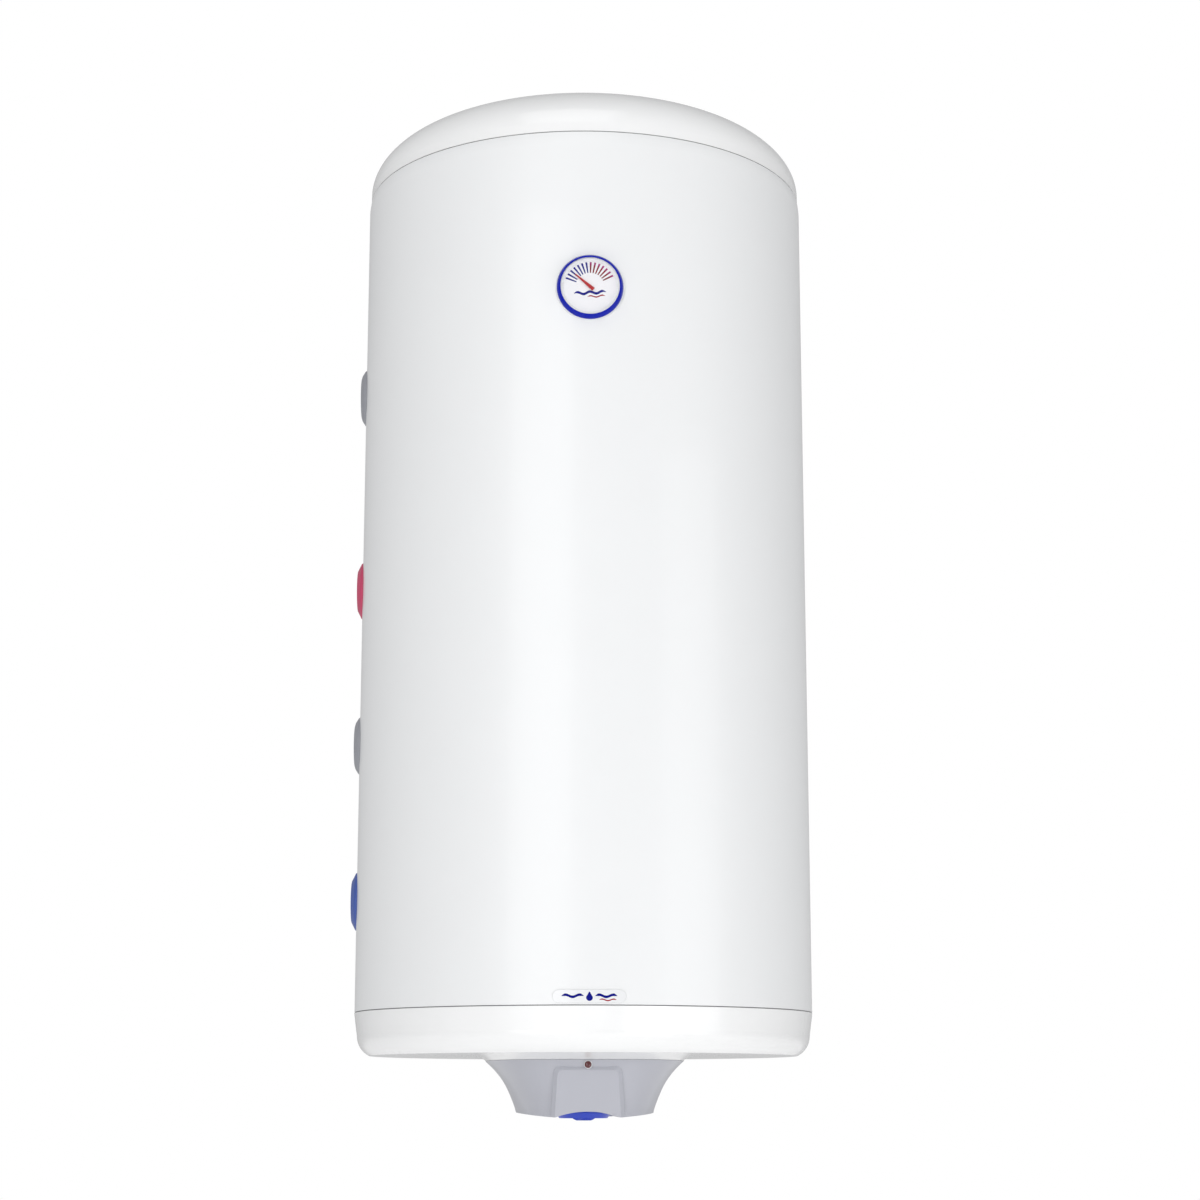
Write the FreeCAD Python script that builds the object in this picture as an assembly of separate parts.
"""Wall-hung storage water heater with a heat-exchanger coil, one STEP file for each piece.

Millimetres. +Z is up, the front faces -Y and the wall is the plane Y = 0. The origin is the centre of
the upper bracket's two bolt holes, on the wall. Heights in this file are measured up from the joint
between the casing and the bottom cap (the lower seam); z_of() turns such a height into Z.
"""
import FreeCAD, Part
import math
import os
from FreeCAD import Vector

os.makedirs("parts", exist_ok=True)

# ---- Casing and caps ------------------------------------------------------------------------------
CASING_R = 230.0            # outer radius of the painted steel casing
CASING_LENGTH = 852.0       # lower seam to upper seam
CASING_SHEET = 1.0
CASING_ROLL_IN = 1.6        # the casing's upper edge is rolled in this far
CASING_ROLL_HEIGHT = 12.0
WALL_GAP = 18.0             # between the casing's back and the wall
SEAM_GAP = 0.9              # open joint at each seam, with a seal behind it
LIP_HEIGHT = 12.0           # the caps' lips inside the casing
LIP_CLEARANCE = 0.2
LIP_SHEET = 1.8
SEAL_CLEARANCE = 0.05
SEAL_INSET = 0.6            # the seals stand this far inside the surfaces they close
CAP_WALL = 2.5
TOP_CAP_R = 228.4
TOP_CAP_WALL_HEIGHT = 9.7   # straight part of the top cap's side
TOP_SHOULDER_RADIAL = 104.8  # half-axes of the elliptical shoulder
TOP_SHOULDER_RISE = 60.7
TOP_CROWN_START = 80.0      # degrees round the shoulder at which the spherical crown takes over
BOTTOM_CAP_R = 230.2
BOTTOM_CAP_DRAFT = 3.0      # how far the side leans in on its way down
BOTTOM_CAP_DEPTH = 42.3
BOTTOM_CORNER = 22.0        # radius of the rounded lower corner
BOTTOM_CORNER_SWEEP = 64.0  # degrees of it, down to a crisp edge with the flat underside

# ---- Tank -----------------------------------------------------------------------------------------
TANK_R = 195.0
TANK_SHEET = 2.5
TANK_BOTTOM_WELD = 30.0     # heights of the two circular welds
TANK_TOP_WELD = 800.0
HEAD_KNUCKLE_R = 20.0
TOP_DISH_R = 500.0
BOTTOM_DISH_R = 620.0
FOAM_CLEARANCE = 0.4
FOAM_R = CASING_R - 5.0
FOAM_BOTTOM = -36.0
SERVICE_WELL_R = 76.0       # free space in the foam around the flange

# ---- Flange ---------------------------------------------------------------------------------------
NECK_BORE_R = 52.0
NECK_R = 60.0
NECK_TOP = -6.0
FLANGE_R = 68.0
NECK_FLANGE_TOP = -16.0
NECK_FACE = -24.0
GASKET_THICKNESS = 3.0
GASKET_R = 57.0
PLATE_THICKNESS = 5.0
STUD_CIRCLE_R = 62.5
STUD_COUNT = 6
STUD_R = 3.0
STUD_END = -44.0
NUT_AF = 10.0
NUT_HEIGHT = 5.0

# ---- Water connections, all at the left side (-X) ---------------------------------------------------
COIL_FLOW_HEIGHT = 641.7
HOT_OUTLET_HEIGHT = 433.5
COIL_RETURN_HEIGHT = 271.1
COLD_INLET_HEIGHT = 111.7
THREAD_LENGTH = 20.0
COIL_THREAD_R = 12.06       # G 3/4 inside wall
COIL_SOCKET_R = 17.0
WATER_THREAD_R = 9.3        # G 1/2 inside wall
WATER_SOCKET_R = 13.5
SOCKET_MOUTH_INSET = 1.5    # the mouths stop this far inside the casing's surface
ROSETTE_R = 30.0
ROSETTE_PROUD = 5.2
SPIGOT_WALL = 3.6           # outside of the socket: the rosette's spigot in the casing's hole
SPIGOT_DEPTH = 6.0

# ---- Heat exchanger and inner pipes -----------------------------------------------------------------
COIL_R = 128.0
COIL_TUBE_R = 10.5
COIL_TUBE_BORE_R = 8.7
COIL_TURNS = 9
PIPE_R = 8.5
PIPE_BORE_R = 6.7

# ---- Flange-mounted parts ---------------------------------------------------------------------------
POCKET_R = 6.0
POCKET_TOP = 260.0
ELEMENT_TUBE_R = 4.2
ELEMENT_TOP = 300.0
ELEMENT_BEND_R = 11.0
ELEMENT_OFFSET = 26.0       # middle of the element's legs, to the right of the axis
ELEMENT_FRONT = 17.6        # its two hairpins stand this far before and behind the axis
ELEMENT_GLAND_R = 6.4
ELEMENT_PIN_DROP = 12.0     # cold ends below the plate
ELEMENT_PIN_LENGTH = 8.0
ANODE_OFFSET = 32.0         # anode, to the left of the axis
ANODE_R = 10.5
ANODE_LENGTH = 230.0

# ---- Control cover ----------------------------------------------------------------------------------
COVER_TOP = -48.35
COVER_TOP_HALF_WIDTH = 97.5
COVER_BOTTOM_HALF_WIDTH = 67.5
COVER_FRONT_TOP = 184.0     # distances in front of and behind the body's axis
COVER_FRONT_BOTTOM = 177.0
COVER_BACK_TOP = 119.0
COVER_BACK_BOTTOM = 98.0
COVER_FLARE_LINEAR = 0.53   # the flared sides: part linear and part cubic in height
COVER_SQUARENESS = 3.4      # exponent of the super-ellipse seen from below
COVER_LOW_LEVEL = -97.0     # height at which the flare ends
COVER_KEEL = -102.4         # lowest line of the crowned underside
COVER_CROWN_R = 450.0
COVER_WALL = 2.5
SADDLE_DEPTH = 6.0          # moulded saddle on the bottom cap that the cover meets
SADDLE_FRONT_SPREAD = 26.0  # its ramp runs forward almost to the cap's crisp lower edge
SADDLE_SIDE_SPREAD = 9.0
HATCH_HALF_WIDTH = 90.0     # access opening in the bottom cap, inside the saddle
HATCH_FRONT = 168.0
HATCH_BACK = 80.0
ARCH_HALF_WIDTH = 33.0      # shallow arched channel from the front lip to the knob
ARCH_RISE = 6.4
PANEL_TOP = -57.9
PANEL_HALF_TOP = 28.4       # front pad: half-widths of its flat
PANEL_HALF_BOTTOM = 31.2
PANEL_BEVEL = 3.6
PANEL_FACE = 184.6          # the flat's upper edge in front of the body's axis
PANEL_LEAN = 5.5            # the flat leans back on its way down, degrees
PANEL_CORNER = 5.0
LAMP_HEIGHT = -53.0
LAMP_R = 3.3
LAMP_RING_R = 3.95
LAMP_PROUD = 1.9
SCREW_X = 30.0
SCREW_BACK = 89.0
SCREW_POST_R = 6.5
SCREW_WELL_R = 4.8
SCREW_SEAT = -62.0
GLAND_HEIGHT = -76.0
GLAND_BORE_R = 4.3
GLAND_FACE = 111.0          # the flat it seats on, behind the body's axis

# ---- Thermostat and knob ----------------------------------------------------------------------------
KNOB_R = 28.5
KNOB_TOP = -94.6
KNOB_SKIRT_BOTTOM = -103.2
KNOB_BOTTOM = -105.3
KNOB_GRIP_WIDTH = 18.0
KNOB_WELL_R = 31.0
KNOB_WELL_TOP = -93.2
SHAFT_R = 3.0
SHAFT_HOLE_CLEARANCE = 0.05
THERMOSTAT_TOP = -56.0      # clear of the element's pins
THERMOSTAT_BOTTOM = -78.0
THERMOSTAT_WIDTH = 46.0
THERMOSTAT_DEPTH = 38.0
RESET_X = 15.0
RESET_FRONT = 12.0
RESET_R = 3.0

# ---- Temperature gauge ------------------------------------------------------------------------------
GAUGE_HEIGHT = 689.8
GAUGE_R = 32.5
GAUGE_FLANGE_R = 33.7
GAUGE_PROUD = 6.4
GAUGE_OPENING_R = 28.9
GAUGE_LENS_R = 29.4
GAUGE_LENS_THICKNESS = 1.2
GAUGE_INNER_RING_R = 25.8   # opening of the white ring that frames the dial
GAUGE_CUP_R = 29.0
GAUGE_CUP_DEPTH = 14.0
DIAL_TILT = 3.6             # the dial sits slightly turned, degrees anticlockwise
NEEDLE_REST = 45.7          # needle to the left of the dial's own vertical, degrees
NEEDLE_LENGTH = 19.0
NEEDLE_TAIL = 4.4

# ---- Badge ------------------------------------------------------------------------------------------
BADGE_HEIGHT = 7.9
BADGE_LENGTH = 68.0
BADGE_WIDTH = 12.0
BADGE_PROUD = 1.0

# ---- Wall brackets ----------------------------------------------------------------------------------
UPPER_BOLT_HEIGHT = 706.0
LOWER_BOLT_HEIGHT = 206.0
BOLT_HALF_SPACING = 150.0
BOLT_HOLE_R = 5.5
BRACKET_HALF_LENGTH = 172.0
BRACKET_HEIGHT = 42.0
BRACKET_SHEET = 3.0
BRACKET_LEG_X = 42.0
BRACKET_FOOT = 22.0

LIP_R = CASING_R - CASING_SHEET - CASING_ROLL_IN - LIP_CLEARANCE
AXIS_Y = -(CASING_R + WALL_GAP)
AXIS = Vector(0, AXIS_Y, 0)
UP = Vector(0, 0, 1)
FORWARD = Vector(0, -1, 0)
LEFT = Vector(-1, 0, 0)


def z_of(height):
    """Z of a height above the lower seam."""
    return height - UPPER_BOLT_HEIGHT


def point(x, front, height):
    """A point given by X, distance in front of the body's axis and height above the lower seam."""
    return Vector(x, AXIS_Y - front, z_of(height))


def save(node, shape):
    """Write one node and report what it holds."""
    solids = shape.Solids
    clean = solids[0] if len(solids) == 1 else Part.makeCompound(solids)
    clean.exportStep("parts/" + node + ".step")
    print(node, len(solids), "solids", round(sum(s.Volume for s in solids) / 1000.0, 2), "cm3",
          "valid" if clean.isValid() else "NOT VALID")


def rod(x, front, low, high, radius):
    """Upright cylinder between two heights."""
    return Part.makeCylinder(radius, high - low, point(x, front, low), UP)


def ring(low, high, inner, outer):
    """Upright ring round the body's axis."""
    return rod(0, 0, low, high, outer).cut(rod(0, 0, low - 1, high + 1, inner))


def block(x, front, height, size_x, size_y, size_z):
    """Box centred on a point."""
    corner = point(x, front, height) - Vector(size_x / 2, size_y / 2, size_z / 2)
    return Part.makeBox(size_x, size_y, size_z, corner)


def side_rod(height, start, end, radius):
    """Cylinder on the left side, along -X between two distances from the body's axis."""
    return Part.makeCylinder(radius, end - start, point(-start, 0, height), LEFT)


def front_rod(height, start, end, radius, x=0.0):
    """Cylinder at the front, along -Y between two distances in front of the body's axis."""
    return Part.makeCylinder(radius, end - start, point(x, start, height), FORWARD)


def hexagon(across_flats, low, high, x, front):
    """Upright hexagonal prism."""
    radius = across_flats / math.sqrt(3)
    corners = [
        point(x, front, low) + Vector(radius * math.cos(a), radius * math.sin(a), 0)
        for a in (math.radians(60 * k) for k in range(7))
    ]
    return Part.Face(Part.makePolygon(corners)).extrude(Vector(0, 0, high - low))


def line(a, b):
    return Part.LineSegment(a, b).toShape()


def arc(a, through, b):
    return Part.Arc(a, through, b).toShape()


def arc_about(centre, a, b):
    """Shorter circular arc between two points about a centre, in a plane across Y."""
    circle = Part.Circle(centre, Vector(0, 1, 0), centre.distanceToPoint(a))
    low, high = sorted((circle.parameter(a), circle.parameter(b)))
    if high - low > math.pi:
        low, high = high, low + 2 * math.pi
    return Part.ArcOfCircle(circle, low, high).toShape()


def turned(edges):
    """Solid of revolution round the body's axis from a closed outline at X >= 0."""
    wire = Part.Wire(Part.__sortEdges__(edges))
    solid = Part.Face(wire).revolve(AXIS, UP, 360)
    return Part.Solid(solid) if solid.ShapeType != "Solid" else solid


def lathe(outline):
    """Solid of revolution from (radius, height) corners joined by straight lines."""
    corners = [point(r, 0, h) for r, h in outline]
    return turned([line(a, b) for a, b in zip(corners, corners[1:] + corners[:1])])


def shouldered(radius, level, radial, rise):
    """Solid under an elliptical shoulder that runs smoothly into a spherical crown; flat below."""
    centre = point(radius - radial, 0, level)
    ellipse = Part.Ellipse(point(radius, 0, level), centre + Vector(0, 0, rise), centre)
    turn = math.radians(TOP_CROWN_START)
    join = centre + Vector(radial * math.cos(turn), 0, rise * math.sin(turn))
    slope = rise / radial / math.tan(turn)
    crown_centre = Vector(0, AXIS_Y, join.z - join.x / slope)
    crown_top = crown_centre + Vector(0, 0, crown_centre.distanceToPoint(join))
    edge = point(radius, 0, level)
    foot = point(0, 0, level)
    return turned([
        Part.ArcOfEllipse(ellipse, ellipse.parameter(edge), ellipse.parameter(join)).toShape(),
        arc_about(crown_centre, join, crown_top),
        line(crown_top, foot),
        line(foot, edge),
    ])


def dished(radius, level, dish, knuckle, side):
    """Solid inside a dished head: a toroidal knuckle and a spherical dish, upwards (1) or downwards (-1)."""
    knuckle_centre = point(radius - knuckle, 0, level)
    drop = math.sqrt((dish - knuckle) ** 2 - (radius - knuckle) ** 2)
    dish_centre = point(0, 0, level - side * drop)
    towards = (knuckle_centre - dish_centre).normalize()
    join = dish_centre + towards * dish
    top = point(0, 0, level + side * (dish - drop))
    edge = point(radius, 0, level)
    foot = point(0, 0, level)
    return turned([
        arc_about(knuckle_centre, edge, join),
        arc_about(dish_centre, join, top),
        line(top, foot),
        line(foot, edge),
    ])


def pipe_path(points, bend):
    """Wire of straight runs joined by tangent arcs."""
    edges = []
    start = points[0]
    for before, corner, after in zip(points, points[1:], points[2:]):
        to_before = (before - corner).normalize()
        to_after = (after - corner).normalize()
        half = to_before.getAngle(to_after) / 2
        setback = bend / math.tan(half)
        first = corner + to_before * setback
        last = corner + to_after * setback
        bisector = (to_before + to_after).normalize()
        middle = corner + bisector * (bend / math.sin(half) - bend)
        edges.append(line(start, first))
        edges.append(arc(first, middle, last))
        start = last
    edges.append(line(start, points[-1]))
    return Part.Wire(edges)


def swept(path, radius):
    """Round bar along a path of lines and arcs."""
    start = path.Edges[0]
    at = start.Vertexes[0].Point
    section = Part.Wire(Part.makeCircle(radius, at, start.tangentAt(start.FirstParameter)))
    return path.makePipeShell([section], True, False)


def hollow_pipe(path, outer, bore):
    return swept(path, outer).cut(swept(path, bore))


# ---- Casing, caps and seals -------------------------------------------------------------------------

def casing_outline(skin):
    """Solid whose surface is the casing's outer surface moved inwards by skin."""
    radius = CASING_R - skin
    top = CASING_LENGTH - SEAM_GAP / 2
    start = CASING_LENGTH - CASING_ROLL_HEIGHT
    edges = [
        line(point(0, 0, SEAM_GAP / 2), point(radius, 0, SEAM_GAP / 2)),
        line(point(radius, 0, SEAM_GAP / 2), point(radius, 0, start)),
        arc(point(radius, 0, start), point(radius - CASING_ROLL_IN * 0.25, 0, (start + top) / 2),
            point(radius - CASING_ROLL_IN, 0, top)),
        line(point(radius - CASING_ROLL_IN, 0, top), point(0, 0, top)),
        line(point(0, 0, top), point(0, 0, SEAM_GAP / 2)),
    ]
    return turned(edges)


def leg_slots(clearance):
    """Slots for the four bracket legs, cut through the casing's back."""
    slots = []
    for height in (UPPER_BOLT_HEIGHT, LOWER_BOLT_HEIGHT):
        for side in (-1, 1):
            x = side * (BRACKET_LEG_X + BRACKET_SHEET / 2)
            slots.append(block(x, -(CASING_R - 10), height, BRACKET_SHEET + 2 * clearance, 60,
                               BRACKET_HEIGHT + 2 * clearance))
    return slots


def connections():
    """Name, height, thread wall radius and outer radius of the four water connections."""
    return [
        ("coil_flow", COIL_FLOW_HEIGHT, COIL_THREAD_R, COIL_SOCKET_R),
        ("hot_outlet", HOT_OUTLET_HEIGHT, WATER_THREAD_R, WATER_SOCKET_R),
        ("coil_return", COIL_RETURN_HEIGHT, COIL_THREAD_R, COIL_SOCKET_R),
        ("cold_inlet", COLD_INLET_HEIGHT, WATER_THREAD_R, WATER_SOCKET_R),
    ]


def make_casing():
    shell = casing_outline(0).cut(casing_outline(CASING_SHEET))
    inner = rod(0, 0, SEAM_GAP / 2 - 1, CASING_LENGTH + 1, CASING_R - CASING_SHEET - CASING_ROLL_IN)
    shell = shell.cut(inner)
    for _, height, _, socket in connections():
        shell = shell.cut(side_rod(height, CASING_R - 30, CASING_R + 10, socket + 4.0))
    shell = shell.cut(front_rod(GAUGE_HEIGHT, CASING_R - 30, CASING_R + 10, GAUGE_CUP_R + 0.6))
    for slot in leg_slots(1.0):
        shell = shell.cut(slot)
    fold = block(0, -(CASING_R + 0.3), CASING_LENGTH / 2, 11.0, 1.8, CASING_LENGTH - 26)
    return shell.fuse(fold).removeSplitter()


def top_cap_body(skin):
    """Solid cap shape, moved inwards by skin."""
    low = CASING_LENGTH + SEAM_GAP / 2
    knee = CASING_LENGTH + TOP_CAP_WALL_HEIGHT
    wall = lathe([(0, low), (TOP_CAP_R - skin, low), (TOP_CAP_R - skin, knee), (0, knee)])
    dome = shouldered(TOP_CAP_R - skin, knee, TOP_SHOULDER_RADIAL, TOP_SHOULDER_RISE - skin)
    return wall.fuse(dome).removeSplitter()


def cap_lip(low, high):
    """Locating lip of a cap inside the casing."""
    return ring(low, high, LIP_R - LIP_SHEET, LIP_R)


def make_top_cap():
    cap = top_cap_body(0).cut(top_cap_body(CAP_WALL))
    low = CASING_LENGTH + SEAM_GAP / 2
    inner = rod(0, 0, low - 1, low + 3, TOP_CAP_R - CAP_WALL)
    flange = ring(low, low + 2.5, TOP_CAP_R - 8, TOP_CAP_R - 0.5)
    lip = cap_lip(CASING_LENGTH - LIP_HEIGHT, low + 2.5)
    return cap.cut(inner).fuse([flange, lip]).removeSplitter()


def bottom_cap_body(skin):
    """Solid cap shape, moved inwards by skin."""
    top = -SEAM_GAP / 2
    radius = BOTTOM_CAP_R - skin
    low_radius = radius - BOTTOM_CAP_DRAFT
    bottom = -(BOTTOM_CAP_DEPTH - skin)
    corner = BOTTOM_CORNER - skin
    sweep = math.radians(BOTTOM_CORNER_SWEEP)
    centre_r = low_radius - corner
    centre_height = bottom + corner * math.sin(sweep)
    side_end = point(low_radius, 0, centre_height)
    corner_middle = point(centre_r + corner * math.cos(sweep / 2), 0,
                          centre_height - corner * math.sin(sweep / 2))
    corner_end = point(centre_r + corner * math.cos(sweep), 0, bottom)
    edges = [
        line(point(0, 0, top), point(radius, 0, top)),
        line(point(radius, 0, top), side_end),
        arc(side_end, corner_middle, corner_end),
        line(corner_end, point(0, 0, bottom)),
        line(point(0, 0, bottom), point(0, 0, top)),
    ]
    return turned(edges)


def plan_outline(half_width, front, back, height, squareness):
    """Closed smooth outline at one height: a super-ellipse with unequal front and back halves."""
    points = []
    steps = 32
    for k in range(steps):
        angle = 2 * math.pi * k / steps
        c = math.cos(angle)
        s = math.sin(angle)
        x = half_width * math.copysign(abs(c) ** (2 / squareness), c)
        reach = front if s > 0 else back
        points.append(point(x, reach * math.copysign(abs(s) ** (2 / squareness), s), height))
    curve = Part.BSplineCurve()
    curve.interpolate(Points=points, PeriodicFlag=True)
    return Part.Wire(curve.toShape())


def saddle_solid():
    """Moulded saddle under the bottom cap, flaring from the cover's outline into the cap."""
    levels = []
    for share in (0.0, 0.25, 0.6, 1.0):
        ahead = SADDLE_FRONT_SPREAD * (1 - share)
        aside = SADDLE_SIDE_SPREAD * (1 - share) ** 1.5
        height = -BOTTOM_CAP_DEPTH + 0.5 - share * (SADDLE_DEPTH + 0.4)
        levels.append(plan_outline(COVER_TOP_HALF_WIDTH + aside, COVER_FRONT_TOP + ahead,
                                   COVER_BACK_TOP + aside, height, COVER_SQUARENESS))
    return Part.makeLoft(levels, True)


def hatch_solid(margin, low, high):
    """Upright prism of the access opening, smaller all round by margin."""
    outline = plan_outline(HATCH_HALF_WIDTH - margin, HATCH_FRONT - margin, HATCH_BACK - margin,
                           low, COVER_SQUARENESS)
    return Part.Face(outline).extrude(Vector(0, 0, high - low))


def make_bottom_cap():
    cap = bottom_cap_body(0).cut(bottom_cap_body(CAP_WALL))
    top = -SEAM_GAP / 2
    inner = rod(0, 0, top - 3, top + 1, BOTTOM_CAP_R - CAP_WALL - 0.4)
    flange = ring(top - 2.5, top, CASING_R - 12, BOTTOM_CAP_R - 0.6)
    lip = cap_lip(top - 2.5, LIP_HEIGHT)
    cap = cap.cut(inner).fuse([flange, lip, saddle_solid()])
    cap = cap.cut(hatch_solid(0, -60, -30))
    for x, f in screw_places():
        cap = cap.cut(rod(x, f, -60, -41.5, 2.0))
    return cap.removeSplitter()


def make_seal(height, outer):
    """Soft seal round a cap's lip, filling the open seam."""
    half = SEAM_GAP / 2 - SEAL_CLEARANCE
    return ring(height - half, height + half, LIP_R + SEAL_CLEARANCE, outer - SEAL_INSET)


# ---- Tank and insulation ----------------------------------------------------------------------------

def tank_solid():
    """The whole outside of the pressure vessel, without its neck."""
    body = rod(0, 0, TANK_BOTTOM_WELD, TANK_TOP_WELD, TANK_R)
    top = dished(TANK_R, TANK_TOP_WELD, TOP_DISH_R, HEAD_KNUCKLE_R, 1)
    bottom = dished(TANK_R, TANK_BOTTOM_WELD, BOTTOM_DISH_R, HEAD_KNUCKLE_R, -1)
    return body.fuse([top, bottom]).removeSplitter()


def head(level, dish, side):
    """Dished head of the tank's sheet thickness."""
    outer = dished(TANK_R, level, dish, HEAD_KNUCKLE_R, side)
    return outer.cut(dished(TANK_R - TANK_SHEET, level, dish - TANK_SHEET, HEAD_KNUCKLE_R - TANK_SHEET, side))


def make_tank_shell():
    shell = ring(TANK_BOTTOM_WELD, TANK_TOP_WELD, TANK_R - TANK_SHEET, TANK_R)
    for _, height, _, socket in connections():
        shell = shell.cut(side_rod(height, TANK_R - 20, TANK_R + 10, socket))
    return shell


def make_bottom_head():
    return head(TANK_BOTTOM_WELD, BOTTOM_DISH_R, -1).cut(rod(0, 0, -30, 10, NECK_R))


def make_foam():
    """Foam between the tank and the casing, open round the flange."""
    low = FOAM_BOTTOM
    filler = rod(0, 0, SEAM_GAP, CASING_LENGTH, FOAM_R)
    top = shouldered(TOP_CAP_R - 8, CASING_LENGTH, TOP_SHOULDER_RADIAL, TOP_SHOULDER_RISE + 3)
    bottom = rod(0, 0, low, SEAM_GAP, 206.0)
    foam = filler.fuse([top, bottom])
    foam = foam.cut(tank_solid())
    foam = foam.cut(rod(0, 0, low - 1, 20, SERVICE_WELL_R))
    for _, height, _, socket in connections():
        foam = foam.cut(side_rod(height, TANK_R - 20, CASING_R + 10, socket + FOAM_CLEARANCE))
        foam = foam.cut(side_rod(height, CASING_R - SPIGOT_DEPTH - 0.5, CASING_R + 10,
                                 socket + SPIGOT_WALL + FOAM_CLEARANCE))
    gauge_seat = CASING_R - GAUGE_CUP_DEPTH - 1
    foam = foam.cut(front_rod(GAUGE_HEIGHT, gauge_seat, CASING_R + 10, GAUGE_CUP_R + 0.6))
    foam = foam.cut(front_rod(GAUGE_HEIGHT, TANK_R - 10, CASING_R, 8.0))
    for height in (UPPER_BOLT_HEIGHT, LOWER_BOLT_HEIGHT):
        foam = foam.cut(block(0, -(CASING_R - 20), height, 2 * (BRACKET_LEG_X + BRACKET_FOOT + 6), 80,
                              BRACKET_HEIGHT + 2))
    return foam.removeSplitter()


# ---- Flange -----------------------------------------------------------------------------------------

def stud_places():
    for k in range(STUD_COUNT):
        angle = math.radians(30 + 360 / STUD_COUNT * k)
        yield STUD_CIRCLE_R * math.cos(angle), STUD_CIRCLE_R * math.sin(angle)


def make_neck():
    neck = ring(NECK_FACE, NECK_TOP, NECK_BORE_R, NECK_R)
    return neck.fuse(ring(NECK_FACE, NECK_FLANGE_TOP, NECK_BORE_R, FLANGE_R)).removeSplitter()


def make_studs():
    return Part.makeCompound([rod(x, f, STUD_END, NECK_FACE, STUD_R) for x, f in stud_places()])


def gasket_bottom():
    return NECK_FACE - GASKET_THICKNESS


def plate_bottom():
    return gasket_bottom() - PLATE_THICKNESS


def make_gasket():
    gasket = ring(gasket_bottom(), NECK_FACE, NECK_BORE_R - 4, GASKET_R)
    return gasket


def make_plate():
    plate = rod(0, 0, plate_bottom(), gasket_bottom(), FLANGE_R)
    for x, f in stud_places():
        plate = plate.cut(rod(x, f, plate_bottom() - 1, NECK_FACE, STUD_R + 0.4))
    plate = plate.cut(rod(0, 0, plate_bottom() - 1, NECK_FACE, POCKET_R))
    plate = plate.cut(rod(-ANODE_OFFSET, 0, plate_bottom() - 1, NECK_FACE, 4.0))
    for x, f in element_legs():
        plate = plate.cut(rod(x, f, plate_bottom() - 1, NECK_FACE, ELEMENT_GLAND_R))
    return plate


def make_nuts():
    low = plate_bottom() - NUT_HEIGHT
    nuts = []
    for x, f in stud_places():
        nut = hexagon(NUT_AF, low, plate_bottom(), x, f)
        nuts.append(nut.cut(rod(x, f, low - 1, NECK_FACE, STUD_R)))
    return Part.makeCompound(nuts)


def element_legs():
    """Where the heating element's two hairpins pass through the plate."""
    places = []
    for front in (-ELEMENT_FRONT, ELEMENT_FRONT):
        for x in (ELEMENT_OFFSET - ELEMENT_BEND_R, ELEMENT_OFFSET + ELEMENT_BEND_R):
            places.append((x, front))
    return places


def make_element():
    """Two hairpin heaters with brass glands and cold pins."""
    pieces = []
    legs = element_legs()
    for (x1, f1), (x2, f2) in zip(legs[0::2], legs[1::2]):
        low = plate_bottom() - ELEMENT_PIN_DROP
        left = rod(x1, f1, low, ELEMENT_TOP, ELEMENT_TUBE_R)
        right = rod(x2, f2, low, ELEMENT_TOP, ELEMENT_TUBE_R)
        bend = Part.makeTorus(ELEMENT_BEND_R, ELEMENT_TUBE_R, point((x1 + x2) / 2, f1, ELEMENT_TOP),
                              Vector(0, 1, 0))
        half = block((x1 + x2) / 2, f1, ELEMENT_TOP + 25, 80, 20, 50)
        hairpin = left.fuse([right, bend.common(half)])
        for x, f in ((x1, f1), (x2, f2)):
            hairpin = hairpin.fuse(rod(x, f, plate_bottom(), gasket_bottom(), ELEMENT_GLAND_R))
            hairpin = hairpin.fuse(rod(x, f, plate_bottom() - 5, plate_bottom(), ELEMENT_GLAND_R + 0.6))
            hairpin = hairpin.fuse(rod(x, f, low - ELEMENT_PIN_LENGTH, low, 1.6))
        pieces.append(hairpin.removeSplitter())
    return Part.makeCompound(pieces)


def make_anode():
    stud = rod(-ANODE_OFFSET, 0, plate_bottom() - 14, gasket_bottom() + 12, 4.0)
    bar = rod(-ANODE_OFFSET, 0, gasket_bottom() + 12, gasket_bottom() + 12 + ANODE_LENGTH, ANODE_R)
    return stud.fuse(bar).removeSplitter()


def make_anode_nut():
    nut = hexagon(13.0, plate_bottom() - 6.5, plate_bottom(), -ANODE_OFFSET, 0)
    return nut.cut(rod(-ANODE_OFFSET, 0, plate_bottom() - 8, plate_bottom() + 1, 4.0))


def make_pocket():
    """Thermostat pocket: a tube closed at its upper end."""
    tube = rod(0, 0, plate_bottom(), POCKET_TOP, POCKET_R)
    return tube.cut(rod(0, 0, plate_bottom() - 1, POCKET_TOP - 2, POCKET_R - 1))


# ---- Water pipes and coil ---------------------------------------------------------------------------

def make_socket(height, thread, outer):
    mouth = CASING_R - SOCKET_MOUTH_INSET
    body = side_rod(height, TANK_R - 8, mouth, outer)
    body = body.cut(side_rod(height, mouth - THREAD_LENGTH, mouth + 1, thread))
    return body.cut(side_rod(height, TANK_R - 20, mouth, PIPE_BORE_R))


def make_coil():
    """Helical coil with a bent tail to each coil socket."""
    rise = COIL_FLOW_HEIGHT - COIL_RETURN_HEIGHT
    helix = Part.makeHelix(rise / COIL_TURNS, rise, COIL_R)
    helix.Placement = FreeCAD.Placement(point(0, 0, COIL_RETURN_HEIGHT), FreeCAD.Rotation(UP, 180))
    tube = swept(Part.Wire(helix.Edges), COIL_TUBE_R)
    bore = swept(Part.Wire(helix.Edges), COIL_TUBE_BORE_R)
    coil = tube.cut(bore)
    for height in (COIL_RETURN_HEIGHT, COIL_FLOW_HEIGHT):
        coil = coil.fuse(side_rod(height, COIL_R - COIL_TUBE_R - 1, TANK_R - 8, COIL_TUBE_R + 0.6))
    return coil


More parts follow.
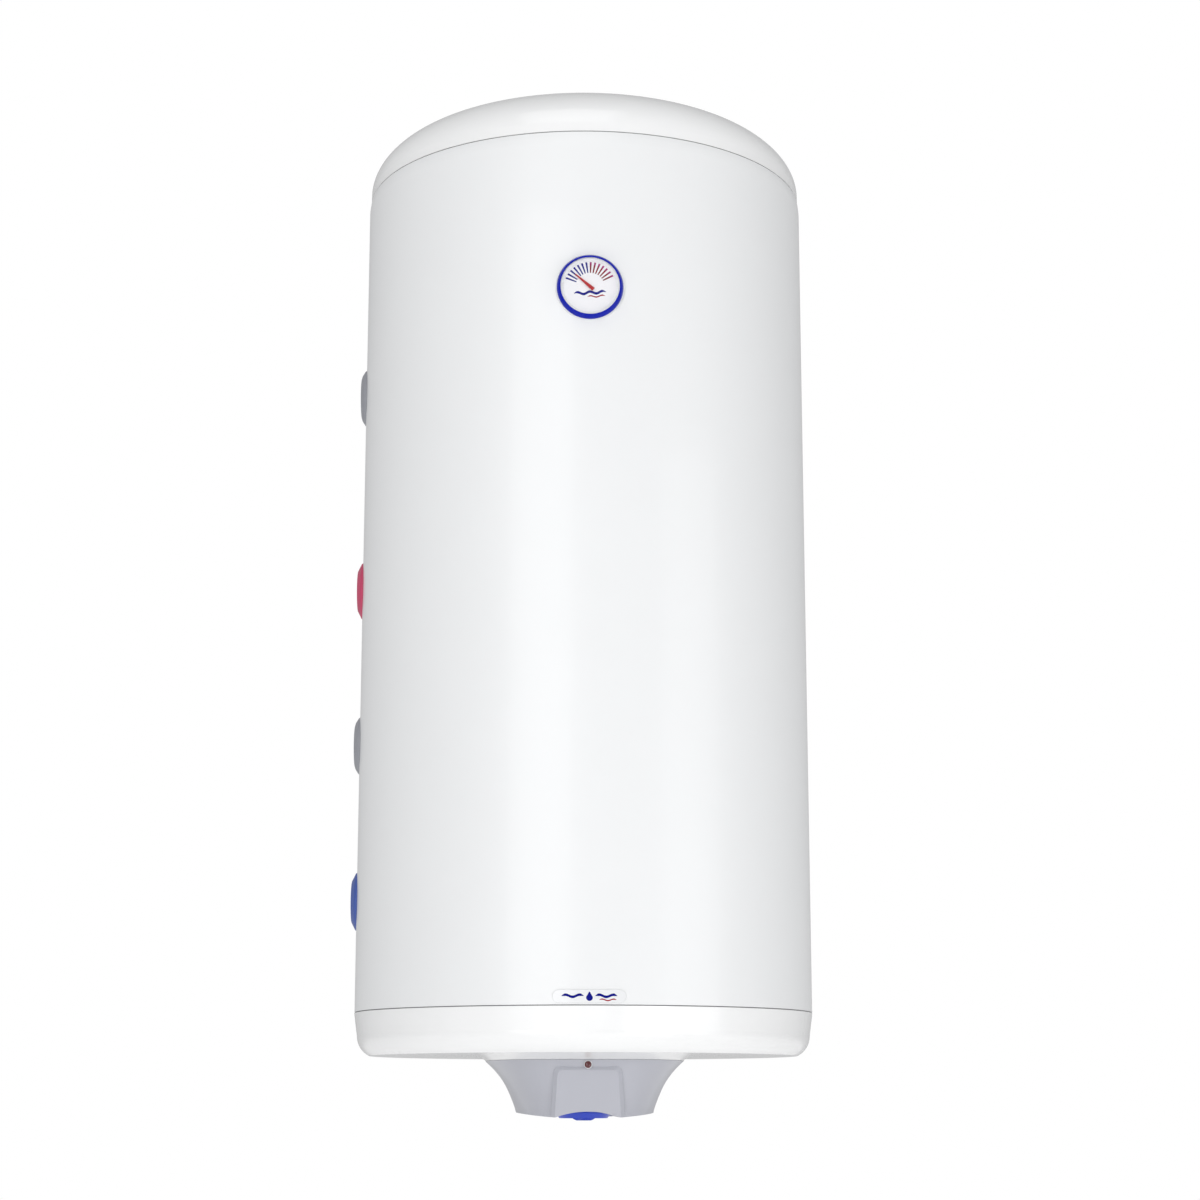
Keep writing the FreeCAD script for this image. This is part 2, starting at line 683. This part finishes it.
def make_hot_pipe():
    """Hot-water pick-up: from its socket to just under the top head, passing behind the coil's tail."""
    path = pipe_path([
        point(-(TANK_R - 8), 0, HOT_OUTLET_HEIGHT),
        point(-162, 0, HOT_OUTLET_HEIGHT),
        point(-152, -62, HOT_OUTLET_HEIGHT),
        point(-152, -62, TANK_TOP_WELD + 16),
    ], 16)
    return hollow_pipe(path, PIPE_R, PIPE_BORE_R)


def make_cold_pipe():
    """Cold inlet: bends down and lets the water out sideways through a slotted end."""
    path = pipe_path([
        point(-(TANK_R - 8), 0, COLD_INLET_HEIGHT),
        point(-150, 0, COLD_INLET_HEIGHT),
        point(-150, 0, 26),
    ], 18)
    pipe = hollow_pipe(path, PIPE_R, PIPE_BORE_R)
    pipe = pipe.fuse(rod(-150, 0, 24, 26.5, PIPE_R))
    for height in (34, 42, 50):
        pipe = pipe.cut(block(-150, 0, height, 30, 6, 4))
    return pipe


def make_rosette(height, socket, shoulder_drop):
    """Moulded cover ring round a connection, saddle-shaped to the casing."""
    face = CASING_R + ROSETTE_PROUD
    hole = socket + 0.5
    face_r = ROSETTE_R - 9.0
    profile = [
        (hole, CASING_R - 4.0), (hole, face - 1.2), (hole + 0.8, face), (face_r, face),
        (face_r + shoulder_drop, face - 0.9), (ROSETTE_R - 1.4, CASING_R + 1.4), (ROSETTE_R, CASING_R - 0.5),
        (ROSETTE_R, CASING_R - 4.0),
    ]
    corners = [point(-reach, 0, height + r) for r, reach in profile]
    edges = [line(a, b) for a, b in zip(corners, corners[1:] + corners[:1])]
    body = Part.Face(Part.Wire(edges)).revolve(point(0, 0, height), LEFT, 360)
    body = Part.Solid(body) if body.ShapeType != "Solid" else body
    body = body.cut(rod(0, 0, height - 60, height + 60, CASING_R))
    spigot = side_rod(height, CASING_R - SPIGOT_DEPTH, CASING_R + 1.5, socket + SPIGOT_WALL)
    spigot = spigot.cut(side_rod(height, CASING_R - 8, CASING_R + 3, hole))
    return body.fuse(spigot).removeSplitter()


# ---- Gauge ------------------------------------------------------------------------------------------

def make_gauge_cup():
    """White moulded cup through the casing, with a thin flange under the blue ring."""
    flange = front_rod(GAUGE_HEIGHT, CASING_R - 6, CASING_R + 0.7, GAUGE_FLANGE_R)
    flange = flange.cut(rod(0, 0, GAUGE_HEIGHT - 60, GAUGE_HEIGHT + 60, CASING_R))
    cup = front_rod(GAUGE_HEIGHT, CASING_R - GAUGE_CUP_DEPTH, CASING_R + 0.7, GAUGE_CUP_R)
    cup = cup.fuse(flange)
    cup = cup.cut(front_rod(GAUGE_HEIGHT, CASING_R - GAUGE_CUP_DEPTH + 2, CASING_R + 5, GAUGE_CUP_R - 2.0))
    cup = cup.cut(front_rod(GAUGE_HEIGHT, CASING_R - 30, CASING_R, 4.6))
    return cup.removeSplitter()


def turned_forward(profile, height):
    """Solid turned round the gauge's axis from (radius, distance in front of the body's axis) corners."""
    corners = [point(r, reach, height) for r, reach in profile]
    edges = [line(a, b) for a, b in zip(corners, corners[1:] + corners[:1])]
    body = Part.Face(Part.Wire(edges)).revolve(point(0, 0, height), FORWARD, 360)
    return Part.Solid(body) if body.ShapeType != "Solid" else body


def lens_front():
    """Distance from the body's axis to the lens's outer face."""
    return CASING_R + GAUGE_PROUD - 1.2


def lens_back():
    return lens_front() - GAUGE_LENS_THICKNESS


def make_gauge_ring():
    """Blue ring: its outside leans in from the flange to a narrow rounded lip over the lens."""
    front = CASING_R + GAUGE_PROUD
    base = CASING_R + 0.75
    seat_r = GAUGE_LENS_R + 0.1
    profile = [
        (seat_r, base), (GAUGE_R, base), (GAUGE_R, base + 1.0), (GAUGE_R - 0.8, front - 2.4),
        (GAUGE_R - 2.0, front - 0.5), (GAUGE_R - 2.7, front), (GAUGE_OPENING_R + 0.35, front),
        (GAUGE_OPENING_R, front - 0.3), (GAUGE_OPENING_R, lens_front()), (seat_r, lens_front()),
    ]
    return turned_forward(profile, GAUGE_HEIGHT)


def make_gauge_lens():
    return front_rod(GAUGE_HEIGHT, lens_back(), lens_front(), GAUGE_LENS_R)


def make_gauge_inner_ring():
    """White ring between the dial and the lens; it holds the dial down and slopes in to frame it."""
    base = CASING_R + 0.75
    top = lens_back() - 0.05
    low = dial_face() + 0.05
    profile = [
        (GAUGE_CUP_R - 1.9, base), (GAUGE_LENS_R, base), (GAUGE_LENS_R, top), (GAUGE_CUP_R - 0.8, top),
        (GAUGE_INNER_RING_R, low + 0.4), (GAUGE_INNER_RING_R, low), (GAUGE_CUP_R - 1.9, low),
    ]
    return turned_forward(profile, GAUGE_HEIGHT)


def dial_face():
    """Distance from the body's axis to the dial's printed face."""
    return CASING_R + 1.6


def make_gauge_dial():
    """Dial plate with a hole for the spindle."""
    face = dial_face()
    dial = front_rod(GAUGE_HEIGHT, face - 1.0, face, GAUGE_CUP_R - 2.3)
    return dial.cut(front_rod(GAUGE_HEIGHT, face - 3, face + 3, 1.3))


def needle_angle():
    return math.radians(NEEDLE_REST + DIAL_TILT)


def make_needle():
    """Tapered pointer with its boss."""
    low = CASING_R + 2.4
    along = Vector(-math.sin(needle_angle()), 0, math.cos(needle_angle()))
    across = Vector(along.z, 0, -along.x)
    centre = point(0, low, GAUGE_HEIGHT)
    corners = [
        centre - along * NEEDLE_TAIL - across * 1.8,
        centre - along * NEEDLE_TAIL + across * 1.8,
        centre + along * NEEDLE_LENGTH + across * 0.45,
        centre + along * NEEDLE_LENGTH - across * 0.45,
    ]
    blade = Part.Face(Part.makePolygon(corners + corners[:1])).extrude(Vector(0, -0.6, 0))
    boss = front_rod(GAUGE_HEIGHT, low - 0.5, low + 1.0, 1.7)
    return blade.fuse(boss).removeSplitter()


def make_spindle():
    return front_rod(GAUGE_HEIGHT, CASING_R - 6, CASING_R + 1.9, 1.25)


def make_gauge_stem():
    """Brass stem that carries the tank's heat to the bimetal spiral."""
    stem = front_rod(GAUGE_HEIGHT, TANK_R + 0.2, CASING_R - 10, 4.5)
    return stem.fuse(front_rod(GAUGE_HEIGHT, TANK_R + 0.2, TANK_R + 3, 7.0)).removeSplitter()


def make_bimetal():
    """Flat spiral of bimetal strip behind the dial, as three nested rings with one link."""
    rings = []
    for radius in (5.0, 8.0, 11.0):
        outer = front_rod(GAUGE_HEIGHT, CASING_R - 8, CASING_R - 4, radius)
        rings.append(outer.cut(front_rod(GAUGE_HEIGHT, CASING_R - 9, CASING_R - 3, radius - 0.6)))
    link = block(7.7, CASING_R - 6, GAUGE_HEIGHT, 6.4, 4, 0.8)
    return rings[0].fuse(rings[1:] + [link]).removeSplitter()


def make_badge():
    """Thin capsule-shaped plate that follows the casing."""
    half = BADGE_WIDTH / 2
    straight = BADGE_LENGTH - BADGE_WIDTH
    slab = block(0, CASING_R, BADGE_HEIGHT, straight, 40, BADGE_WIDTH)
    for side in (-1, 1):
        slab = slab.fuse(front_rod(BADGE_HEIGHT, CASING_R - 20, CASING_R + 20, half, side * straight / 2))
    skin = rod(0, 0, BADGE_HEIGHT - 20, BADGE_HEIGHT + 20, CASING_R + BADGE_PROUD)
    skin = skin.cut(rod(0, 0, BADGE_HEIGHT - 21, BADGE_HEIGHT + 21, CASING_R + 0.05))
    return slab.removeSplitter().common(skin)


# ---- Control cover, knob and electrics --------------------------------------------------------------

def flare(share):
    """How far the cover has opened out at a share of its height, 0 at the bottom and 1 at the top."""
    return COVER_FLARE_LINEAR * share + (1 - COVER_FLARE_LINEAR) * share ** 3


def cover_outline(height, skin):
    span = COVER_TOP - COVER_LOW_LEVEL
    opened = flare(max(0.0, (height - COVER_LOW_LEVEL) / span))
    width = COVER_BOTTOM_HALF_WIDTH + (COVER_TOP_HALF_WIDTH - COVER_BOTTOM_HALF_WIDTH) * opened
    front = COVER_FRONT_BOTTOM + (COVER_FRONT_TOP - COVER_FRONT_BOTTOM) * opened
    back = COVER_BACK_BOTTOM + (COVER_BACK_TOP - COVER_BACK_BOTTOM) * opened
    return plan_outline(width - skin, front - skin, back - skin, height, COVER_SQUARENESS)


def crown_cylinder(skin):
    """Large cylinder along Y whose lowest line is the cover's keel, moved up by skin."""
    radius = COVER_CROWN_R - skin
    return Part.makeCylinder(radius, 900, point(0, -450, COVER_KEEL + COVER_CROWN_R), FORWARD)


def cover_solid(skin, top):
    levels = [top, -54.0, -62.0, -72.0, -84.0, COVER_LOW_LEVEL, COVER_KEEL - 6]
    shape = Part.makeLoft([cover_outline(h, skin) for h in levels], True)
    return shape.common(crown_cylinder(skin))


def pad_outline(grow, front):
    """Outline of the front pad with upper corners rounded, widened all round by grow."""
    top = PANEL_TOP + grow
    low = COVER_KEEL - 6
    a = PANEL_HALF_TOP + grow
    b = PANEL_HALF_BOTTOM + grow
    r = PANEL_CORNER + grow * 0.6
    m = r * (1 - math.sqrt(0.5))
    edges = [
        line(point(-b, front, low), point(-a, front, top - r)),
        arc(point(-a, front, top - r), point(-a + m, front, top - m), point(-a + r, front, top)),
        line(point(-a + r, front, top), point(a - r, front, top)),
        arc(point(a - r, front, top), point(a - m, front, top - m), point(a, front, top - r)),
        line(point(a, front, top - r), point(b, front, low)),
        line(point(b, front, low), point(-b, front, low)),
    ]
    return Part.Wire(edges)


def make_pad():
    """Raised pad on the cover's front with bevelled edges."""
    pad = Part.makeLoft([
        pad_outline(PANEL_BEVEL, PANEL_FACE - 26.0),
        pad_outline(PANEL_BEVEL, PANEL_FACE - PANEL_BEVEL),
        pad_outline(0, PANEL_FACE),
    ], True, True)
    pad.rotate(point(0, PANEL_FACE, PANEL_TOP), Vector(1, 0, 0), PANEL_LEAN)
    return pad.common(crown_cylinder(0))


def arch_channel():
    radius = (ARCH_HALF_WIDTH ** 2 + ARCH_RISE ** 2) / (2 * ARCH_RISE)
    crest = COVER_KEEL + ARCH_RISE
    return Part.makeCylinder(radius, 230, point(0, 0, crest - radius), FORWARD)


def screw_places():
    return [(side * SCREW_X, -SCREW_BACK) for side in (-1, 1)]


def make_cover():
    shell = cover_solid(0, COVER_TOP).fuse(make_pad())
    shell = shell.cut([arch_channel(), rod(0, 0, COVER_KEEL - 5, KNOB_WELL_TOP, KNOB_WELL_R)])
    hollow = cover_solid(COVER_WALL, COVER_TOP + 2)
    radius = (ARCH_HALF_WIDTH ** 2 + ARCH_RISE ** 2) / (2 * ARCH_RISE) + COVER_WALL
    crest = COVER_KEEL + ARCH_RISE + COVER_WALL
    hollow = hollow.cut([
        Part.makeCylinder(radius, 230, point(0, 0, crest - radius), FORWARD),
        rod(0, 0, COVER_KEEL - 5, KNOB_WELL_TOP + COVER_WALL, KNOB_WELL_R + COVER_WALL),
    ])
    shell = shell.cut(hollow)
    hatch_inside = hatch_solid(2.6, COVER_TOP - 4, COVER_TOP + 6)
    collar = cover_solid(0.5, COVER_TOP).common(block(0, 0, COVER_TOP - 1.2, 400, 600, 2.4))
    shell = shell.fuse(collar.cut(hatch_inside))
    shell = shell.fuse(hatch_solid(0.6, COVER_TOP - 2.4, COVER_TOP + 5.0).cut(hatch_inside))
    for x, f in screw_places():
        post = rod(x, f, COVER_KEEL - 2, COVER_TOP, SCREW_POST_R).common(crown_cylinder(0))
        shell = shell.fuse(post)
        shell = shell.cut(rod(x, f, COVER_KEEL - 8, SCREW_SEAT, SCREW_WELL_R))
        shell = shell.cut(rod(x, f, SCREW_SEAT - 1, COVER_TOP + 1, 2.2))
    shell = shell.cut(rod(0, 0, -110, -60, SHAFT_R + 1.5))
    shell = shell.cut(front_rod(LAMP_HEIGHT, 150, 210, LAMP_R + 0.3))
    shell = shell.cut(front_rod(LAMP_HEIGHT, cover_front_at(LAMP_HEIGHT) - 1.5, 210, LAMP_RING_R + 0.05))
    boss = front_rod(GLAND_HEIGHT, -GLAND_FACE, -GLAND_FACE + 16, 14.0)
    shell = shell.fuse(boss).cut(front_rod(GLAND_HEIGHT, -150, -80, 8.0))
    return shell.removeSplitter()


def make_cover_screws():
    screws = []
    for x, f in screw_places():
        shank = rod(x, f, SCREW_SEAT, -42.0, 2.0)
        head_disc = rod(x, f, SCREW_SEAT - 2.6, SCREW_SEAT, 4.1)
        slot = block(x, f, SCREW_SEAT - 2.4, 5.6, 0.9, 1.6)
        slot = slot.fuse(block(x, f, SCREW_SEAT - 2.4, 0.9, 5.6, 1.6))
        screws.append(shank.fuse(head_disc).cut(slot).removeSplitter())
    return Part.makeCompound(screws)


def cover_front_at(height):
    span = COVER_TOP - COVER_LOW_LEVEL
    opened = flare(max(0.0, (height - COVER_LOW_LEVEL) / span))
    return COVER_FRONT_BOTTOM + (COVER_FRONT_TOP - COVER_FRONT_BOTTOM) * opened


def make_lamp_ring():
    face = cover_front_at(LAMP_HEIGHT)
    rim = face + LAMP_PROUD
    profile = [
        (LAMP_R, face - 6), (LAMP_R + 0.25, face - 6), (LAMP_R + 0.25, face - 1.5), (LAMP_RING_R, face - 1.5),
        (LAMP_RING_R, rim - 0.3), (LAMP_RING_R - 0.3, rim), (LAMP_R, rim),
    ]
    return turned_forward(profile, LAMP_HEIGHT)


def make_lamp_lens():
    face = cover_front_at(LAMP_HEIGHT)
    rim = face + LAMP_PROUD - 0.7
    body = front_rod(LAMP_HEIGHT, face - 12, rim, LAMP_R - 0.05)
    dome = Part.makeSphere(6.0, point(0, rim - 4.6, LAMP_HEIGHT))
    dome = dome.common(front_rod(LAMP_HEIGHT, rim, rim + 4, LAMP_R - 0.05))
    return body.fuse(dome).removeSplitter()


def make_gland():
    """Cable gland in the cover's back wall: a flanged bush with a clamping cap."""
    outside = -GLAND_FACE
    inside = outside + 16
    bush = front_rod(GLAND_HEIGHT, outside - 15, inside + 6, 7.8)
    flange = front_rod(GLAND_HEIGHT, outside - 3, outside, 12.5)
    cap = front_rod(GLAND_HEIGHT, outside - 15, outside - 3, 10.5)
    nut = front_rod(GLAND_HEIGHT, inside, inside + 5, 11.0)
    gland = bush.fuse([flange, cap, nut])
    return gland.cut(front_rod(GLAND_HEIGHT, -160, -60, GLAND_BORE_R)).removeSplitter()


def make_knob():
    """Round skirted knob with a bar grip underneath; the shaft end fits its bore."""
    skirt = lathe([
        (0, KNOB_TOP), (KNOB_R - 1.5, KNOB_TOP), (KNOB_R, KNOB_TOP - 1.5), (KNOB_R, KNOB_TOP - 3.6),
        (KNOB_R - 4.5, KNOB_SKIRT_BOTTOM), (0, KNOB_SKIRT_BOTTOM),
    ])
    low = KNOB_BOTTOM
    half = KNOB_GRIP_WIDTH / 2
    corners = [
        point(-half - 3, 0, KNOB_SKIRT_BOTTOM + 0.5), point(-half, 0, low + 0.8), point(-half + 2, 0, low),
        point(half - 2, 0, low), point(half, 0, low + 0.8), point(half + 3, 0, KNOB_SKIRT_BOTTOM + 0.5),
    ]
    grip = Part.Face(Part.makePolygon(corners + corners[:1])).extrude(Vector(0, 60, 0))
    grip.translate(Vector(0, -30, 0))
    grip = grip.common(rod(0, 0, low - 1, KNOB_TOP, KNOB_R - 5.0))
    knob = skirt.fuse(grip).removeSplitter()
    return knob.cut(rod(0, 0, KNOB_TOP - 7.5, KNOB_TOP + 1, SHAFT_R))


def make_shaft():
    shaft = rod(0, 0, KNOB_TOP - 7.5, THERMOSTAT_BOTTOM + 14, SHAFT_R)
    return shaft


def make_thermostat():
    """Rod thermostat: its moulded body under the flange and its probe inside the pocket."""
    body = block(0, 0, (THERMOSTAT_TOP + THERMOSTAT_BOTTOM) / 2, THERMOSTAT_WIDTH, THERMOSTAT_DEPTH,
                 THERMOSTAT_TOP - THERMOSTAT_BOTTOM)
    collar = rod(0, 0, THERMOSTAT_TOP, plate_bottom(), 5.0)
    probe = rod(0, 0, plate_bottom() - 1, POCKET_TOP - 8, POCKET_R - 1.4)
    body = body.fuse([collar, probe]).removeSplitter()
    shaft_hole = rod(0, 0, THERMOSTAT_BOTTOM - 5, THERMOSTAT_BOTTOM + 15, SHAFT_R + SHAFT_HOLE_CLEARANCE)
    reset_hole = rod(RESET_X, RESET_FRONT, THERMOSTAT_BOTTOM - 5, THERMOSTAT_BOTTOM + 8,
                     RESET_R + SHAFT_HOLE_CLEARANCE)
    return body.cut([shaft_hole, reset_hole])


def make_reset_button():
    """Reset pin of the safety cut-out, in the thermostat's underside."""
    pin = rod(RESET_X, RESET_FRONT, THERMOSTAT_BOTTOM - 4, THERMOSTAT_BOTTOM + 5, RESET_R)
    head = rod(RESET_X, RESET_FRONT, THERMOSTAT_BOTTOM - 6, THERMOSTAT_BOTTOM - 3.5, RESET_R + 1)
    return pin.fuse(head).removeSplitter()


def make_terminal_block():
    """Three-way block on a bracket behind the thermostat, with wire holes and screw heads."""
    body = block(0, -52, -58, 36, 16, 14)
    leg = block(0, -52, (plate_bottom() - 51) / 2, 12, 3, abs(plate_bottom() + 51))
    body = body.fuse(leg)
    for x in (-11, 0, 11):
        body = body.cut(front_rod(-59, -61, -43, 2.0, x))
        body = body.cut(rod(x, -52, -70, -62, 3.0))
    return body.removeSplitter()


def make_wires():
    """Three short insulated leads from the terminal block to the thermostat."""
    leads = []
    for x in (-11, 0, 11):
        path = pipe_path([
            point(x, -46, -59), point(x, -36, -59), point(x, -30, -68), point(x, -19.5, -68),
        ], 4)
        leads.append(swept(path, 1.4))
    return Part.makeCompound(leads)


# ---- Wall brackets ----------------------------------------------------------------------------------

def make_bracket(height):
    """Flat steel strip with two bolt holes, on two legs that are welded to the tank."""
    plate = block(0, AXIS_Y + BRACKET_SHEET / 2, height, 2 * BRACKET_HALF_LENGTH, BRACKET_SHEET,
                  BRACKET_HEIGHT)
    edges = [e for e in plate.Edges
             if abs(e.tangentAt(e.FirstParameter).y) > 0.9]
    plate = plate.makeFillet(8.0, edges)
    reach = math.sqrt((TANK_R + 0.05) ** 2 - BRACKET_LEG_X ** 2)
    legs = []
    for side in (-1, 1):
        x = side * (BRACKET_LEG_X + BRACKET_SHEET / 2)
        leg_length = -AXIS_Y - reach + 6
        leg = block(x, -(reach - 6 + leg_length / 2), height, BRACKET_SHEET, leg_length, BRACKET_HEIGHT - 4)
        foot = block(side * (BRACKET_LEG_X + BRACKET_FOOT / 2), -(reach + 1), height, BRACKET_FOOT, 14,
                     BRACKET_HEIGHT - 4)
        skin = rod(0, 0, height - 60, height + 60, TANK_R + BRACKET_SHEET)
        legs.append(leg)
        legs.append(foot.common(skin))
    body = plate.fuse(legs).cut(rod(0, 0, height - 80, height + 80, TANK_R + 0.05))
    for side in (-1, 1):
        hole = Part.makeCylinder(BOLT_HOLE_R, 20, Vector(side * BOLT_HALF_SPACING, -10, z_of(height)),
                                 Vector(0, 1, 0))
        body = body.cut(hole)
    return body.removeSplitter()


def main():
    save("outer_casing", make_casing())
    save("top_cap", make_top_cap())
    save("bottom_cap", make_bottom_cap())
    save("upper_seam_seal", make_seal(CASING_LENGTH, TOP_CAP_R))
    save("lower_seam_seal", make_seal(0, CASING_R))
    save("insulation_foam", make_foam())
    save("tank_shell", make_tank_shell())
    save("tank_top_head", head(TANK_TOP_WELD, TOP_DISH_R, 1))
    save("tank_bottom_head", make_bottom_head())
    save("flange_neck", make_neck())
    save("flange_studs", make_studs())
    save("flange_gasket", make_gasket())
    save("flange_plate", make_plate())
    save("flange_nuts", make_nuts())
    save("heating_element", make_element())
    save("anode_rod", make_anode())
    save("anode_nut", make_anode_nut())
    save("thermostat_pocket", make_pocket())
    save("thermostat_body", make_thermostat())
    save("thermostat_shaft", make_shaft())
    save("thermostat_knob", make_knob())
    save("reset_button", make_reset_button())
    save("terminal_block", make_terminal_block())
    save("lead_wires", make_wires())
    save("cable_gland", make_gland())
    save("control_cover", make_cover())
    save("cover_screws", make_cover_screws())
    save("lamp_ring", make_lamp_ring())
    save("lamp_lens", make_lamp_lens())
    for name, height, thread, socket in connections():
        save(name + "_socket", make_socket(height, thread, socket))
        save(name + "_rosette", make_rosette(height, socket, 3.0 if name.startswith("coil") else 1.8))
    save("heat_exchanger_coil", make_coil())
    save("hot_outlet_pipe", make_hot_pipe())
    save("cold_inlet_pipe", make_cold_pipe())
    save("upper_bracket", make_bracket(UPPER_BOLT_HEIGHT))
    save("lower_bracket", make_bracket(LOWER_BOLT_HEIGHT))
    save("gauge_cup", make_gauge_cup())
    save("gauge_ring", make_gauge_ring())
    save("gauge_lens", make_gauge_lens())
    save("gauge_inner_ring", make_gauge_inner_ring())
    save("gauge_dial", make_gauge_dial())
    save("gauge_needle", make_needle())
    save("gauge_spindle", make_spindle())
    save("gauge_stem", make_gauge_stem())
    save("gauge_bimetal", make_bimetal())
    save("name_badge", make_badge())


main()
